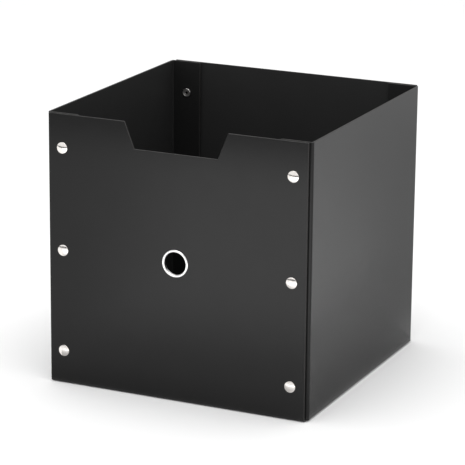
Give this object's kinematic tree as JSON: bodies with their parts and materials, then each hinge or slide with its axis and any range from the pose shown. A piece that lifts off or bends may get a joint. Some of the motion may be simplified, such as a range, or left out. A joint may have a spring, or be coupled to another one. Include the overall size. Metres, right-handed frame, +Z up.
{
  "type": "folding storage box",
  "caption": "Open-topped square storage box of black laminated board, with snapped corners that fold flat, a notched front rim and a metal-ringed finger hole",
  "frame": {"origin": "centre of the underside, on the surface that the box stands on", "axes": "+Z up to the open rim, -Y out of the front wall with the notch and the finger ring, +X to the right of someone who faces the front wall"},
  "size_m": [0.32, 0.3244, 0.313],
  "materials": {
    "board": "matt black laminated paper over solid board",
    "fold": "creased black laminated board",
    "snap_metal": "polished nickel plate",
    "ring_metal": "bright nickel plate"
  },
  "bodies": {
    "box": {"base_board": "board", "left_wall": "board", "right_wall": "board", "left_base_fold": "fold", "right_base_fold": "fold", "front_base_fold": "fold", "back_base_fold": "fold", "front_left_corner_fold": "fold", "front_right_corner_fold": "fold", "back_left_corner_fold": "fold", "back_right_corner_fold": "fold"},
    "front_wall": {"front_wall": "board", "front_snap_caps": "snap_metal", "front_snap_sockets": "snap_metal", "finger_ring": "ring_metal", "finger_ring_washer": "snap_metal"},
    "back_wall": {"back_wall": "board", "back_snap_caps": "snap_metal", "back_snap_sockets": "snap_metal"},
    "front_left_flap": {"front_left_flap": "board", "front_left_snap_studs": "snap_metal", "front_left_snap_posts": "snap_metal"},
    "front_right_flap": {"front_right_flap": "board", "front_right_snap_studs": "snap_metal", "front_right_snap_posts": "snap_metal"},
    "back_left_flap": {"back_left_flap": "board", "back_left_snap_studs": "snap_metal", "back_left_snap_posts": "snap_metal"},
    "back_right_flap": {"back_right_flap": "board", "back_right_snap_studs": "snap_metal", "back_right_snap_posts": "snap_metal"}
  },
  "joints": [
    {"name": "front_wall_fold", "type": "hinge", "parent": "box", "child": "front_wall", "pos_m": [0, -0.157, 0.003], "axis": [1, 0, 0], "range_deg": [0, 90], "deforming": ["front_base_fold"]},
    {"name": "back_wall_fold", "type": "hinge", "parent": "box", "child": "back_wall", "pos_m": [0, 0.157, 0.003], "axis": [-1, 0, 0], "range_deg": [0, 90], "deforming": ["back_base_fold"]},
    {"name": "front_left_flap_fold", "type": "hinge", "parent": "box", "child": "front_left_flap", "pos_m": [-0.157, -0.1525, 0.1565], "axis": [0, 0, 1], "range_deg": [0, 90]},
    {"name": "front_right_flap_fold", "type": "hinge", "parent": "box", "child": "front_right_flap", "pos_m": [0.157, -0.1525, 0.1565], "axis": [0, 0, -1], "range_deg": [0, 90]},
    {"name": "back_left_flap_fold", "type": "hinge", "parent": "box", "child": "back_left_flap", "pos_m": [-0.157, 0.1525, 0.1565], "axis": [0, 0, -1], "range_deg": [0, 90]},
    {"name": "back_right_flap_fold", "type": "hinge", "parent": "box", "child": "back_right_flap", "pos_m": [0.157, 0.1525, 0.1565], "axis": [0, 0, 1], "range_deg": [0, 90]}
  ]
}
